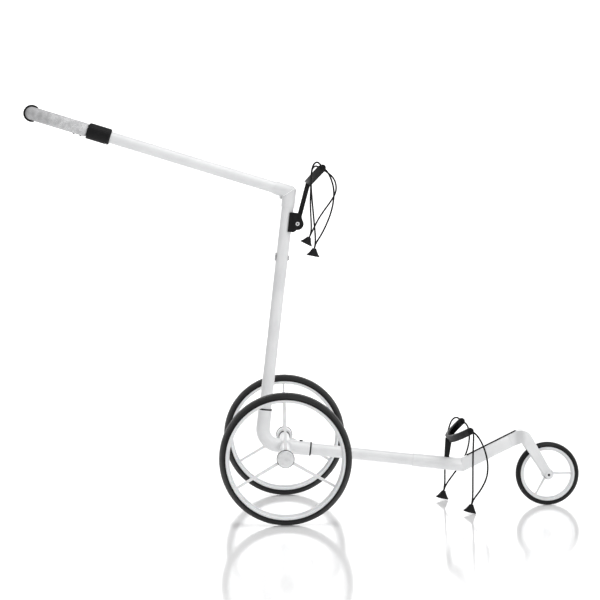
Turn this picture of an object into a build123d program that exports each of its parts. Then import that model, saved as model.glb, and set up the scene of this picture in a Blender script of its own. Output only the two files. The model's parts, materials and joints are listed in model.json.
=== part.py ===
from build123d import *
from math import atan2, cos, degrees, pi, radians, sin, tan
import os

os.makedirs("parts", exist_ok=True)

# A three-wheel golf push trolley, in millimetres and degrees.
# +X points forward to the single front wheel, +Y to the trolley's left, +Z up.
# The floor is Z = 0. The rear wheels turn about the line X = 0, Z = rear_wheel_radius until the
# last step, where every piece is moved so that the origin is the middle of the trolley's footprint.

# ---- Driving dimensions -------------------------------------------------------------------------

track = 560.0                  # between the middles of the rear tyres
wheelbase = 621.0              # rear axle to front axle, level
rear_wheel_radius = 150.0
rear_tyre_width = 60.0
rear_tyre_height = 15.0
front_wheel_radius = 75.0
front_tyre_width = 26.0
front_tyre_height = 11.0

upright_lean = 7.28            # forward from plumb
upright_length = 599.0         # elbow corner to top corner, along the tube's axis
upright_diameter = 29.0
beam_slope = 7.0               # down towards the front
beam_length = wheelbase - 199.3    # rear axle to the bend, along the beam's axis
beam_diameter = 28.0
boom_rise = 25.8               # up towards the front
boom_length = 162.3            # bend to crown
boom_height = 29.0
boom_width = 28.0
handle_tilt = 17.86            # up towards the rear
handle_reach = 633.0           # top corner to the centre of the rounded grip end
handle_diameter = 28.0
grip_diameter = 32.0
grip_travel = 120.0            # how far the grip pulls out
tube_wall = 2.0

# ---- Fits ---------------------------------------------------------------------------------------

snug_gap = 0.05                # radial, between pieces that stay put
running_gap = 0.05             # radial, between a shaft and what turns on it
moving_gap = 0.3               # between other faces that pass each other

# ---- Skeleton in the centre plane ---------------------------------------------------------------


def heading(angle):
    """Unit vector in the centre plane, its angle counted from +X towards +Z."""
    return Vector(cos(radians(angle)), 0, sin(radians(angle)))


def square_to(point, way):
    """Plane square to a line of the centre plane. Its local x is +Y."""
    return Plane(origin=point, x_dir=(0, 1, 0), z_dir=way)


def side_on(point, way):
    """The centre plane itself, with local x along way and local y a quarter turn up from it."""
    return Plane(origin=point, x_dir=way, z_dir=(0, -1, 0))


def save(builder, name):
    """Label one finished piece and write it, moved to the middle of the footprint."""
    piece = Pos(-footprint_middle, 0, 0) * builder.part
    piece.label = name
    export_step(piece, f"parts/{name}.step")


left, right = 1, -1
side_names = {left: "left", right: "right"}

up = heading(90 - upright_lean)
forward = heading(-beam_slope)
boom_way = heading(boom_rise)
back = heading(180 - handle_tilt)

elbow_setback = 56.2           # elbow corner behind the axle, along the beam's axis
axle = Vector(0, 0, rear_wheel_radius)
elbow_corner = axle - forward * elbow_setback
top_corner = elbow_corner + up * upright_length
bend = axle + forward * beam_length
apex = bend + boom_way * boom_length
front_axle = Vector(wheelbase, 0, front_wheel_radius)
leg_way = (front_axle - apex).normalized()
leg_length = (front_axle - apex).length
grip_end = top_corner + back * handle_reach

end_band_thickness = 4.2
footprint_front = wheelbase + front_wheel_radius
footprint_rear = grip_end.X - grip_diameter / 2 - end_band_thickness
footprint_middle = (footprint_front + footprint_rear) / 2

# ---- Elbow, upright and the rings at the elbow's sockets ----------------------------------------

elbow_diameter = 33.0
elbow_bend_radius = 40.0
front_socket_reach = 59.0      # axle to the front socket's mouth
upper_socket_reach = 80.5      # elbow corner to the upper socket's mouth
beam_insert = 42.0
upright_insert = 36.0
axle_tube_diameter = 25.0
elbow_boss_length = 44.0
seal_width = 3.5

front_mouth = axle + forward * front_socket_reach
upper_mouth = elbow_corner + up * upper_socket_reach
beam_start = front_mouth - forward * beam_insert
upright_start = upper_mouth - up * upright_insert

button_diameter = 8.0
button_back = 22.0             # from the socket's mouth to the button
button_proud = 2.0
button_travel = 3.0
button_foot = front_mouth - forward * button_back
button_way = heading(90 - beam_slope)

with BuildPart() as elbow_housing:
    with BuildLine() as elbow_path:
        FilletPolyline(front_mouth, elbow_corner, upper_mouth, radius=elbow_bend_radius)
    with BuildSketch(square_to(front_mouth, -forward)):
        Circle(elbow_diameter / 2)
    sweep()
    with BuildSketch(side_on(axle, Vector(1, 0, 0))):
        Circle(elbow_diameter / 2)
    extrude(amount=elbow_boss_length / 2, both=True)
    with BuildSketch(square_to(front_mouth, -forward)):
        Circle(beam_diameter / 2 + snug_gap)
    extrude(amount=beam_insert, mode=Mode.SUBTRACT)
    with BuildSketch(square_to(upper_mouth, -up)):
        Circle(upright_diameter / 2 + snug_gap)
    extrude(amount=upright_insert, mode=Mode.SUBTRACT)
    with BuildSketch(side_on(axle, Vector(1, 0, 0))):
        Circle(axle_tube_diameter / 2 + snug_gap)
    extrude(amount=elbow_boss_length, both=True, mode=Mode.SUBTRACT)
    with BuildSketch(Plane(origin=button_foot, x_dir=(0, 1, 0), z_dir=button_way)):
        Circle(button_diameter / 2 + moving_gap)
    extrude(amount=elbow_diameter, mode=Mode.SUBTRACT)
save(elbow_housing, "elbow_housing")

with BuildPart() as seal_rings:
    with BuildSketch(square_to(upper_mouth, up)):
        Circle(elbow_diameter / 2)
        Circle(upright_diameter / 2 + snug_gap, mode=Mode.SUBTRACT)
    extrude(amount=seal_width)
    with BuildSketch(square_to(front_mouth, forward)):
        Circle(elbow_diameter / 2)
        Circle(beam_diameter / 2 + snug_gap, mode=Mode.SUBTRACT)
    extrude(amount=seal_width)
save(seal_rings, "seal_rings")

corner_casting_diameter = 32.0
corner_casting_length = 36.0   # top corner to the casting's shoulder, on either side
spigot_length = 18.0
upright_bore = upright_diameter - 2 * tube_wall
upright_end = top_corner - up * corner_casting_length

through_bolt_drop = 155.0      # top corner down to the through bolt
bolt_shank_diameter = 6.0
bolt_centre = top_corner - up * through_bolt_drop
bolt_way = heading(-upright_lean)

bracket_screw_diameter = 5.0
bracket_pitch = 30.0           # between the two screws that hold the upper bracket's block
block_drop = 72.5              # top corner down to the level of the bracket's hinge
block_level = top_corner - up * block_drop

with BuildPart() as upright_tube:
    with BuildSketch(square_to(upright_start, up)):
        Circle(upright_diameter / 2)
        Circle(upright_bore / 2, mode=Mode.SUBTRACT)
    extrude(amount=(upright_end - upright_start).length)
    with BuildSketch(square_to(bolt_centre, bolt_way)):
        Circle(bolt_shank_diameter / 2 + snug_gap)
    extrude(amount=upright_diameter, both=True, mode=Mode.SUBTRACT)
    with BuildSketch(square_to(block_level, bolt_way)):
        with Locations((0, bracket_pitch / 2), (0, -bracket_pitch / 2)):
            Circle(bracket_screw_diameter / 2 + snug_gap)
    extrude(amount=upright_diameter, mode=Mode.SUBTRACT)
save(upright_tube, "upright_tube")

bolt_head_diameter = 19.0
bolt_head_height = 3.2
nut_diameter = 12.0
nut_height = 2.4
nut_slot = 1.6
bolt_seat = upright_diameter / 2

with BuildPart() as through_bolt:
    with BuildSketch(square_to(bolt_centre - bolt_way * bolt_seat, bolt_way)):
        Circle(bolt_shank_diameter / 2)
    extrude(amount=2 * bolt_seat)
    with BuildSketch(square_to(bolt_centre - bolt_way * bolt_seat, -bolt_way)):
        Circle(bolt_head_diameter / 2)
    extrude(amount=bolt_head_height)
    fillet(through_bolt.faces().sort_by(Axis.X)[0].edges(), bolt_head_height / 2)
    with BuildSketch(square_to(bolt_centre + bolt_way * (bolt_seat + snug_gap), bolt_way)):
        Circle(nut_diameter / 2)
    extrude(amount=nut_height)
    with BuildSketch(square_to(bolt_centre + bolt_way * (bolt_seat + snug_gap + nut_height), bolt_way)):
        Rectangle(nut_diameter, nut_slot)
    extrude(amount=-nut_height / 2, mode=Mode.SUBTRACT)
save(through_bolt, "through_bolt")

# ---- Folding corner at the top of the upright ---------------------------------------------------
# The two castings meet on the plane that halves the corner. The hinge pin sits just outside the
# inner corner, so the handle folds down until it lies behind the upright.

mitre_way = (back + up).normalized()             # square to the meeting plane, handle side
inner_way = (back - up).normalized()             # in the meeting plane, towards the inner corner
half_corner = back.get_angle(-up) / 2
pin_stand_off = 1.5                              # pin centre outside both tube surfaces
hinge_pin_diameter = 5.0
hinge_lug_diameter = 10.0
middle_lug_width = 8.0
outer_lug_width = 5.0
mitre_gap = 0.2

corner_radius = corner_casting_diameter / 2
hinge_point = top_corner + inner_way * ((corner_radius + pin_stand_off) / sin(radians(half_corner)))
hinge_span = middle_lug_width + 2 * (moving_gap + outer_lug_width)
corner_round = 5.0
corner_rise = (corner_radius + moving_gap) / sin(radians(half_corner))


def corner_casting(way, mitre_side, own_lugs, other_lugs, tube_bore):
    """One half of the corner: a mitred stub with a spigot for its tube and its hinge lugs.

    Lugs are given as pairs: how far the lug's middle is from the centre plane, and its width.
    """
    with BuildPart() as casting:
        with BuildSketch(square_to(top_corner + way * corner_casting_length, -way)):
            Circle(corner_radius)
        extrude(amount=corner_casting_length + 2 * corner_rise)
        meeting_plane = Plane(origin=top_corner + mitre_side * mitre_gap, z_dir=mitre_side)
        split(bisect_by=meeting_plane, keep=Keep.TOP)
        with BuildSketch(side_on(top_corner - inner_way * corner_rise, inner_way)):
            Rectangle(2 * corner_round, 4 * corner_radius)
        extrude(amount=corner_radius * 2, both=True, mode=Mode.SUBTRACT)
        with BuildSketch(square_to(top_corner + way * corner_casting_length, way)):
            Circle(tube_bore / 2 - snug_gap)
        extrude(amount=spigot_length)
        for middle, width in own_lugs:
            with BuildSketch(Plane(origin=hinge_point + Vector(0, middle, 0), z_dir=(0, 1, 0))):
                Circle(hinge_lug_diameter / 2)
            extrude(amount=width / 2, both=True)
        for middle, width in other_lugs:
            with BuildSketch(Plane(origin=hinge_point + Vector(0, middle, 0), z_dir=(0, 1, 0))):
                Circle(hinge_lug_diameter / 2 + moving_gap)
            extrude(amount=width / 2 + moving_gap, both=True, mode=Mode.SUBTRACT)
        with BuildSketch(side_on(hinge_point, Vector(1, 0, 0))):
            Circle(hinge_pin_diameter / 2 + running_gap)
        extrude(amount=hinge_span, both=True, mode=Mode.SUBTRACT)
    return casting


outer_lug_middle = middle_lug_width / 2 + 2 * moving_gap + outer_lug_width / 2
outer_lugs = [(outer_lug_middle, outer_lug_width), (-outer_lug_middle, outer_lug_width)]
middle_lugs = [(0, middle_lug_width)]

top_casting = corner_casting(-up, -mitre_way, outer_lugs, middle_lugs, upright_bore)
save(top_casting, "top_casting")

handle_bore = handle_diameter - 2 * tube_wall
handle_knuckle = corner_casting(back, mitre_way, middle_lugs, outer_lugs, handle_bore)
save(handle_knuckle, "handle_knuckle")

with BuildPart() as handle_hinge_pin:
    with BuildSketch(side_on(hinge_point, Vector(1, 0, 0))):
        Circle(hinge_pin_diameter / 2)
    extrude(amount=outer_lug_middle + outer_lug_width / 2, both=True)
save(handle_hinge_pin, "handle_hinge_pin")

# ---- Handle, clamp and grip ---------------------------------------------------------------------
# Distances along the handle are counted from the top corner.

clamp_start = 440.0
clamp_end = 497.0
clamp_diameter = 38.5
clamp_lip = 5.0                # the part of the collar that runs on the inner tube
inner_tube_diameter = handle_bore - 0.8
inner_tube_start = 325.0
inner_tube_wall = 1.8
grip_start = clamp_end + 1.0
grip_stop = 632.0


def along_handle(distance):
    return square_to(top_corner + back * distance, back)


with BuildPart() as handle_tube:
    with BuildSketch(along_handle(corner_casting_length)):
        Circle(handle_diameter / 2)
        Circle(handle_bore / 2, mode=Mode.SUBTRACT)
    extrude(amount=clamp_end - clamp_lip - corner_casting_length)
save(handle_tube, "handle_tube")

clamp_round_front = 4.6
clamp_round_rear = 6.5
lever_width = 16.0
lever_thickness = 4.5
lever_start = clamp_start + 5.0
lever_stop = clamp_end - 1.0
pocket_past_lever = 4.5        # the pocket runs on past the lever's free end
lever_pin_overhang = 2.5       # past the lever, at each end
lever_pin_diameter = 2.5
lever_pin_at = clamp_start + 9.0
lever_pin_drop = clamp_diameter / 2 - lever_thickness / 2
lever_plane = side_on(top_corner, back)
pocket_depth = lever_thickness + moving_gap
rib_count = 11
rib_groove = 0.9
rib_groove_out = 0.4           # groove centres outside the collar's surface
rib_first_angle = 190.0
rib_fan = 160.0
rib_margin = 4.0

with BuildPart() as clamp_collar:
    with BuildSketch(along_handle(clamp_start)):
        Circle(clamp_diameter / 2)
    extrude(amount=clamp_end - clamp_start)
    fillet(clamp_collar.edges().filter_by(GeomType.CIRCLE).sort_by(Axis.X)[-1], clamp_round_front)
    fillet(clamp_collar.edges().filter_by(GeomType.CIRCLE).sort_by(Axis.X)[0], clamp_round_rear)
    with BuildSketch(along_handle(clamp_start)):
        Circle(handle_diameter / 2 + snug_gap)
    extrude(amount=clamp_end - clamp_lip - clamp_start, mode=Mode.SUBTRACT)
    with BuildSketch(along_handle(clamp_start)):
        Circle(inner_tube_diameter / 2 + moving_gap)
    extrude(amount=clamp_end - clamp_start, mode=Mode.SUBTRACT)
    with BuildSketch(lever_plane):
        with Locations(((lever_start + lever_stop + pocket_past_lever) / 2, clamp_diameter / 2)):
            Rectangle(lever_stop - lever_start + pocket_past_lever, 2 * pocket_depth)
    extrude(amount=lever_width / 2 + moving_gap, both=True, mode=Mode.SUBTRACT)
    with BuildSketch(lever_plane):
        with Locations((lever_pin_at, lever_pin_drop)):
            Circle(lever_pin_diameter / 2 + snug_gap)
    extrude(amount=clamp_diameter, both=True, mode=Mode.SUBTRACT)
    with BuildSketch(along_handle(clamp_start + rib_margin)):
        with PolarLocations(clamp_diameter / 2 + rib_groove_out, rib_count, rib_first_angle, rib_fan):
            Circle(rib_groove)
    extrude(amount=clamp_end - clamp_start - 2 * rib_margin, mode=Mode.SUBTRACT)
save(clamp_collar, "clamp_collar")

with BuildPart() as clamp_lever:
    with BuildSketch(lever_plane):
        with Locations((lever_pin_at, lever_pin_drop)):
            Circle(lever_thickness / 2)
        with Locations(((lever_pin_at + lever_stop) / 2, lever_pin_drop)):
            Rectangle(lever_stop - lever_pin_at, lever_thickness)
        with Locations((lever_pin_at, lever_pin_drop)):
            Circle(lever_pin_diameter / 2 + running_gap, mode=Mode.SUBTRACT)
    extrude(amount=lever_width / 2, both=True)
    with BuildSketch(along_handle(clamp_start)):
        Circle(clamp_diameter / 2)
    extrude(amount=clamp_end - clamp_start, mode=Mode.INTERSECT)
save(clamp_lever, "clamp_lever")

with BuildPart() as clamp_lever_pin:
    with BuildSketch(lever_plane):
        with Locations((lever_pin_at, lever_pin_drop)):
            Circle(lever_pin_diameter / 2)
    extrude(amount=lever_width / 2 + lever_pin_overhang, both=True)
save(clamp_lever_pin, "clamp_lever_pin")

with BuildPart() as inner_tube:
    with BuildSketch(along_handle(inner_tube_start)):
        Circle(inner_tube_diameter / 2)
        Circle(inner_tube_diameter / 2 - inner_tube_wall, mode=Mode.SUBTRACT)
    extrude(amount=grip_stop - inner_tube_start)
save(inner_tube, "inner_tube")

bush_length = 14.0
bush_spigot_length = 12.0
inner_tube_bore = inner_tube_diameter - 2 * inner_tube_wall

with BuildPart() as guide_bush:
    with BuildSketch(along_handle(inner_tube_start - bush_length)):
        Circle(handle_bore / 2 - running_gap)
    extrude(amount=bush_length)
    with BuildSketch(along_handle(inner_tube_start)):
        Circle(inner_tube_bore / 2 - snug_gap)
    extrude(amount=bush_spigot_length)
save(guide_bush, "guide_bush")

stud_diameter = 5.0
stud_proud = 1.6
stud_root = 2.0                # how deep a stud sits in the grip
stud_places = [509.5, 526.0]
grip_edge_round = 1.5
handle_down = heading(270 - handle_tilt)

with BuildPart() as grip_sleeve:
    with BuildSketch(along_handle(grip_start)):
        Circle(grip_diameter / 2)
        Circle(inner_tube_diameter / 2 + snug_gap, mode=Mode.SUBTRACT)
    extrude(amount=handle_reach - grip_start)
    fillet(grip_sleeve.faces().sort_by(Axis.X)[-1].outer_wire().edges(), grip_edge_round)
    with BuildSketch(side_on(top_corner, back)):
        with Locations(*[(place, grip_diameter / 2) for place in stud_places]):
            Rectangle(stud_diameter + 2 * snug_gap, 2 * stud_root)
    extrude(amount=stud_diameter / 2 + snug_gap, both=True, mode=Mode.SUBTRACT)
save(grip_sleeve, "grip_sleeve")

with BuildPart() as grip_studs:
    for place in stud_places:
        stud_foot = top_corner + back * place + handle_down * (grip_diameter / 2 - stud_root)
        with BuildSketch(square_to(stud_foot, handle_down)):
            Circle(stud_diameter / 2)
        extrude(amount=stud_root + stud_proud)
save(grip_studs, "grip_studs")

end_band_width = 9.0
end_band_wrap = 10.0           # how far the band reaches back past the rounded end's centre
end_band_round = 1.5
cap_spigot_length = 14.0

with BuildPart() as grip_cap:
    with BuildSketch(side_on(grip_end, back)):
        with BuildLine():
            CenterArc((0, 0), grip_diameter / 2, 0, 90)
            Polyline((0, grip_diameter / 2), (0, 0), (grip_diameter / 2, 0))
        make_face()
    revolve(axis=Axis(grip_end, back))
    with BuildSketch(along_handle(handle_reach)):
        Circle(inner_tube_bore / 2 - snug_gap)
    extrude(amount=-cap_spigot_length)
save(grip_cap, "grip_cap")

with BuildPart() as grip_end_band:
    with BuildSketch(side_on(grip_end, back)):
        Circle(grip_diameter / 2 + end_band_thickness)
        Circle(grip_diameter / 2 + snug_gap, mode=Mode.SUBTRACT)
        with Locations((-grip_diameter / 2, 0)):
            Rectangle(grip_diameter, grip_diameter + 2 * snug_gap, mode=Mode.SUBTRACT)
        with Locations((-grip_diameter / 2 - end_band_wrap, 0)):
            Rectangle(grip_diameter, 2 * grip_diameter, mode=Mode.SUBTRACT)
    extrude(amount=end_band_width / 2, both=True)
    fillet(grip_end_band.edges().filter_by(GeomType.CIRCLE).sort_by(SortBy.RADIUS)[-2:], end_band_round)
save(grip_end_band, "grip_end_band")

# ---- Upper bag bracket --------------------------------------------------------------------------
# The block is clamped to the front of the upright. The stem turns on the block's screw.

block_width = 34.0
block_slot = 9.0
block_slot_depth = -8.0        # the slot's floor, behind the screw
bracket_hinge_out = 27.3       # upright axis to the bracket's screw
block_nose_radius = 14.5
block_above = 25.5             # the block's top over the level of the screw
block_below = 21.0
block_grip = 6.0               # upright axis to the rear edge of the block's cheeks
block_brow = 5.0               # top front edge, in front of the screw
block_toe = 7.0                # bottom front edge, behind the screw
block_round = 2.5
stem_width = 11.0
stem_thickness = block_slot - 2 * moving_gap
bracket_pin_diameter = 6.0
bracket_hinge = block_level + bolt_way * bracket_hinge_out
block_rear = block_grip - bracket_hinge_out

upper_stem_length = 100.2      # hinge to the cradle, along the stem
upper_stem_lean = 15.5
upper_reach_angle = 46.0       # the cradle's arms rise this much towards the front
upper_cradle_height = 18.0
upper_cradle_depth = 46.0      # tips in front of the cradle's middle
lower_stem_place = beam_length - 37.7    # along the beam, from the axle
lower_stem_length = 60.0       # beam axis to the cradle
lower_reach_angle = 34.0
lower_cradle_height = 16.0
lower_cradle_depth = 50.0
cradle_spread = 126.0          # tip to the centre plane
cradle_thickness = 8.0
pad_thickness = 2.5
tip_radius = 7.5
tip_width = 10.0
stem_foot_radius = 6.5         # round the bracket's screw
lower_stem_flare = 5.0         # the lower stem is this much wider at its top
stem_sink = 1.5                # the lower stem's foot below the sleeve's surface

with BuildPart() as bracket_block:
    with BuildSketch(side_on(bracket_hinge, bolt_way)):
        Circle(block_nose_radius)
        with BuildLine():
            Polyline(
                (0, -block_nose_radius), (-block_toe, -block_below), (block_rear, -block_below),
                (block_rear, block_above), (block_brow, block_above), (block_nose_radius, 0), close=True,
            )
        make_face()
    extrude(amount=block_width / 2, both=True)
    fillet(bracket_block.edges().filter_by(Axis.Y).sort_by(Axis.Z)[-2:], block_round)
    with BuildSketch(square_to(upright_start, up)):
        Circle(upright_diameter / 2 + snug_gap)
    extrude(amount=upright_length, mode=Mode.SUBTRACT)
    with BuildSketch(side_on(bracket_hinge, bolt_way)):
        with Locations((block_slot_depth, 0)):
            Rectangle(block_width, 2 * block_width, align=(Align.MIN, Align.CENTER))
    extrude(amount=block_slot / 2, both=True, mode=Mode.SUBTRACT)
    with BuildSketch(side_on(bracket_hinge, bolt_way)):
        Circle(bracket_pin_diameter / 2 + running_gap)
    extrude(amount=block_width, both=True, mode=Mode.SUBTRACT)
    with BuildSketch(square_to(block_level, bolt_way)):
        with Locations((0, bracket_pitch / 2), (0, -bracket_pitch / 2)):
            Circle(bracket_screw_diameter / 2 + snug_gap)
    extrude(amount=bracket_hinge_out, mode=Mode.SUBTRACT)
save(bracket_block, "bracket_block")

screw_inset = 3.0              # the screws stand this far into the upright's bore
screw_start = upright_bore / 2 - screw_inset

with BuildPart() as block_screws:
    with BuildSketch(square_to(block_level + bolt_way * screw_start, bolt_way)):
        with Locations((0, bracket_pitch / 2), (0, -bracket_pitch / 2)):
            Circle(bracket_screw_diameter / 2)
    extrude(amount=bracket_hinge_out + block_slot_depth - screw_start)
save(block_screws, "block_screws")

bracket_pin_head = 9.5
bracket_pin_head_height = 2.0
bracket_pin_round = 0.8
bracket_pin_socket_radius = 2.3
bracket_pin_socket_depth = 1.8

with BuildPart() as bracket_pin:
    with BuildSketch(side_on(bracket_hinge, bolt_way)):
        Circle(bracket_pin_diameter / 2)
    extrude(amount=block_width / 2, both=True)
    with BuildSketch(side_on(bracket_hinge, bolt_way).offset(block_width / 2)):
        Circle(bracket_pin_head / 2)
    extrude(amount=bracket_pin_head_height)
    with BuildSketch(side_on(bracket_hinge, bolt_way).offset(-block_width / 2)):
        Circle(bracket_pin_head / 2)
    extrude(amount=-bracket_pin_head_height)
    fillet(bracket_pin.edges().group_by(Axis.Y)[0], bracket_pin_round)
    with BuildSketch(side_on(bracket_hinge, bolt_way).offset(block_width / 2 + bracket_pin_head_height)):
        RegularPolygon(bracket_pin_socket_radius, 6)
    extrude(amount=-bracket_pin_socket_depth, mode=Mode.SUBTRACT)
save(bracket_pin, "bracket_pin")

# ---- Cradles: one shape for the upper and the lower bracket -------------------------------------


def cradle_radius(depth):
    return (cradle_spread ** 2 + depth ** 2) / (2 * depth)


def cradle_plane(middle, angle):
    """Plane of a cradle's outline: local x towards the bag, local y to the left, z up its height."""
    return Plane(origin=middle, x_dir=heading(angle), z_dir=heading(angle + 90))


def bracket(foot, stem_way, middle, angle, height, depth, widths, foot_radius):
    """Stem and cradle in one moulding. widths are the stem's at its foot and at its top."""
    stem_length = (middle - foot).length
    with BuildPart() as moulding:
        with BuildSketch(cradle_plane(middle, angle)):
            with BuildLine():
                ThreePointArc((depth, -cradle_spread), (0, 0), (depth, cradle_spread))
            trace(line_width=cradle_thickness)
        extrude(amount=height / 2, both=True)
        for side in side_names:
            tip = middle + heading(angle) * depth + Vector(0, side * cradle_spread, 0)
            with BuildSketch(side_on(tip, heading(angle))):
                Circle(tip_radius)
            extrude(amount=tip_width / 2, both=True)
        with BuildSketch(side_on(foot, stem_way)):
            Polygon(
                (0, -widths[0] / 2), (stem_length, -widths[1] / 2),
                (stem_length, widths[1] / 2), (0, widths[0] / 2), align=None,
            )
            if foot_radius:
                Circle(foot_radius)
                Circle(bracket_pin_diameter / 2 + running_gap, mode=Mode.SUBTRACT)
        extrude(amount=stem_thickness / 2, both=True)
    return moulding


def cradle_pads(middle, angle, height, depth):
    """Ribbed rubber pads on the inner faces of the two arms."""
    radius = cradle_radius(depth)
    inner = radius - cradle_thickness / 2 - snug_gap
    pad_middle = (pad_start + pad_stop) / 2
    with BuildPart() as pads:
        with BuildSketch(cradle_plane(middle, angle)):
            with Locations((radius, 0)):
                Circle(inner)
                Circle(inner - pad_thickness, mode=Mode.SUBTRACT)
            with Locations((depth / 2, pad_middle), (depth / 2, -pad_middle)):
                Rectangle(2 * depth, pad_stop - pad_start, mode=Mode.INTERSECT)
        extrude(amount=height / 2 - pad_margin, both=True)
        for level in pad_rib_levels:
            with BuildSketch(cradle_plane(middle, angle).offset(level * pad_rib_step)):
                with Locations((radius, 0)):
                    Circle(inner - pad_thickness + pad_rib_depth)
            extrude(amount=pad_rib_depth / 2, both=True, mode=Mode.SUBTRACT)
    return pads


pad_rib_step = 2.8
pad_rib_depth = 0.8
pad_start = 14.0               # centre plane to the pad's near end
pad_stop = 112.0
pad_margin = 2.0               # between the pad and the arm's upper and lower edges
pad_rib_levels = [-2, -1, 0, 1, 2]

upper_stem_way = heading(90 - upper_stem_lean)
upper_middle = bracket_hinge + upper_stem_way * upper_stem_length
upper_bracket = bracket(
    bracket_hinge, upper_stem_way, upper_middle, upper_reach_angle, upper_cradle_height,
    upper_cradle_depth, (stem_width, stem_width), stem_foot_radius,
)
save(upper_bracket, "upper_bracket")

stem_foot = axle + forward * lower_stem_place
sleeve_diameter = 31.0
lower_middle = stem_foot + button_way * lower_stem_length
lower_bracket = bracket(
    stem_foot + button_way * (sleeve_diameter / 2 - stem_sink), button_way, lower_middle,
    lower_reach_angle, lower_cradle_height, lower_cradle_depth,
    (stem_width, stem_width + lower_stem_flare), 0,
)
save(lower_bracket, "lower_bracket")

upper_pads = cradle_pads(upper_middle, upper_reach_angle, upper_cradle_height, upper_cradle_depth)
save(upper_pads, "upper_pads")
lower_pads = cradle_pads(lower_middle, lower_reach_angle, lower_cradle_height, lower_cradle_depth)
save(lower_pads, "lower_pads")

# ---- Main beam, sleeve and boom -----------------------------------------------------------------

beam_stop = beam_length - 29.7    # axle to the beam's front end, inside the sleeve
sleeve_start = beam_length - 117.7
bend_plane = Plane(origin=bend, z_dir=(forward + boom_way).normalized())
boom_up = heading(boom_rise + 90)
boom_round = 4.0
boom_wall = 2.5
boom_web = 10.0                # solid part of the boom in front of the bend
sleeve_round = 1.0
crown_back = 34.0              # apex back to the seam between boom and crown
over_length = 30.0

with BuildPart() as main_beam:
    with BuildSketch(square_to(beam_start, forward)):
        Circle(beam_diameter / 2)
        Circle(beam_diameter / 2 - tube_wall, mode=Mode.SUBTRACT)
    extrude(amount=beam_stop - (front_socket_reach - beam_insert))
    with BuildSketch(Plane(origin=button_foot, x_dir=(0, 1, 0), z_dir=button_way)):
        Circle(button_diameter / 2 + moving_gap)
    extrude(amount=beam_diameter, mode=Mode.SUBTRACT)
save(main_beam, "main_beam")

with BuildPart() as front_sleeve:
    with BuildSketch(square_to(axle + forward * sleeve_start, forward)):
        Circle(sleeve_diameter / 2)
    extrude(amount=beam_length + over_length - sleeve_start)
    split(bisect_by=bend_plane, keep=Keep.BOTTOM)
    with BuildSketch(square_to(axle + forward * sleeve_start, forward)):
        Circle(beam_diameter / 2 + snug_gap)
    extrude(amount=beam_stop - sleeve_start, mode=Mode.SUBTRACT)
    fillet(front_sleeve.faces().sort_by(Axis.X)[0].outer_wire().edges(), sleeve_round)
    with BuildSketch(Plane(origin=stem_foot, x_dir=(0, 1, 0), z_dir=button_way)):
        Rectangle(stem_thickness + 2 * moving_gap, stem_width + 2 * moving_gap)
    extrude(amount=sleeve_diameter, mode=Mode.SUBTRACT)
save(front_sleeve, "front_sleeve")

with BuildPart() as boom:
    with BuildSketch(square_to(bend - boom_way * over_length, boom_way)):
        RectangleRounded(boom_width, boom_height, boom_round)
    extrude(amount=boom_length + over_length - crown_back)
    split(bisect_by=bend_plane, keep=Keep.TOP)
    with BuildSketch(square_to(bend + boom_way * boom_web, boom_way)):
        Rectangle(boom_width - 2 * boom_wall, boom_height - 2 * boom_wall)
    extrude(amount=boom_length, mode=Mode.SUBTRACT)
save(boom, "boom")

strip_width = 10.0
strip_height = 2.4
strip_start = 21.0             # along the boom, from the bend
strip_stop = boom_length - 12.0
strip_round = 0.8

with BuildPart() as boom_strip:
    with BuildSketch(side_on(bend, boom_way)):
        with Locations(((strip_start + strip_stop) / 2, (boom_height + strip_height) / 2)):
            Rectangle(strip_stop - strip_start, strip_height)
    extrude(amount=strip_width / 2, both=True)
    fillet(boom_strip.edges().group_by(SortBy.LENGTH)[-1].group_by(Axis.Z)[-1], strip_round)
save(boom_strip, "boom_strip")

# ---- Crown, fork legs and front axle ------------------------------------------------------------

leg_gap = 45.0                 # between the inner faces of the legs
leg_thickness = 11.0
leg_width_top = 26.0
leg_width_end = 20.0
leg_edge_round = 2.5
crown_drop = 22.0              # apex to the underside of the crown, along the legs
crown_round = 25.0
crown_armpit = 4.0
crown_width = leg_gap + 2 * leg_thickness
crown_neck_length = 12.0       # seam to where the crown starts to widen
crown_flare_length = 30.0      # seam to where it has its full width
crown_flare_round = 12.0
crown_tail = 20.0              # how far the plan's outline starts behind the seam
crown_height_past = 500.0      # the plan is drawn from the floor up past the crown
leg_front = Vector(-leg_way.Z, 0, leg_way.X)
leg_plane = side_on(apex, leg_way)


def crossing(point_a, way_a, point_b, way_b):
    """Where two lines of the centre plane meet."""
    offset = point_b - point_a
    share = (offset.X * way_b.Z - offset.Z * way_b.X) / (way_a.X * way_b.Z - way_a.Z * way_b.X)
    return point_a + way_a * share


seam = apex - boom_way * crown_back
top_line = apex + boom_up * (boom_height / 2)
bottom_line = apex - boom_up * (boom_height / 2)
front_line = apex + leg_front * (leg_width_top / 2)
rear_line = apex - leg_front * (leg_width_top / 2)
outer_corner = crossing(top_line, boom_way, front_line, leg_way)
inner_corner = crossing(bottom_line, boom_way, rear_line, leg_way)
crown_outline = [
    seam - boom_up * (boom_height / 2), seam + boom_up * (boom_height / 2), outer_corner,
    front_line + leg_way * crown_drop, rear_line + leg_way * crown_drop, inner_corner,
]

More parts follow.
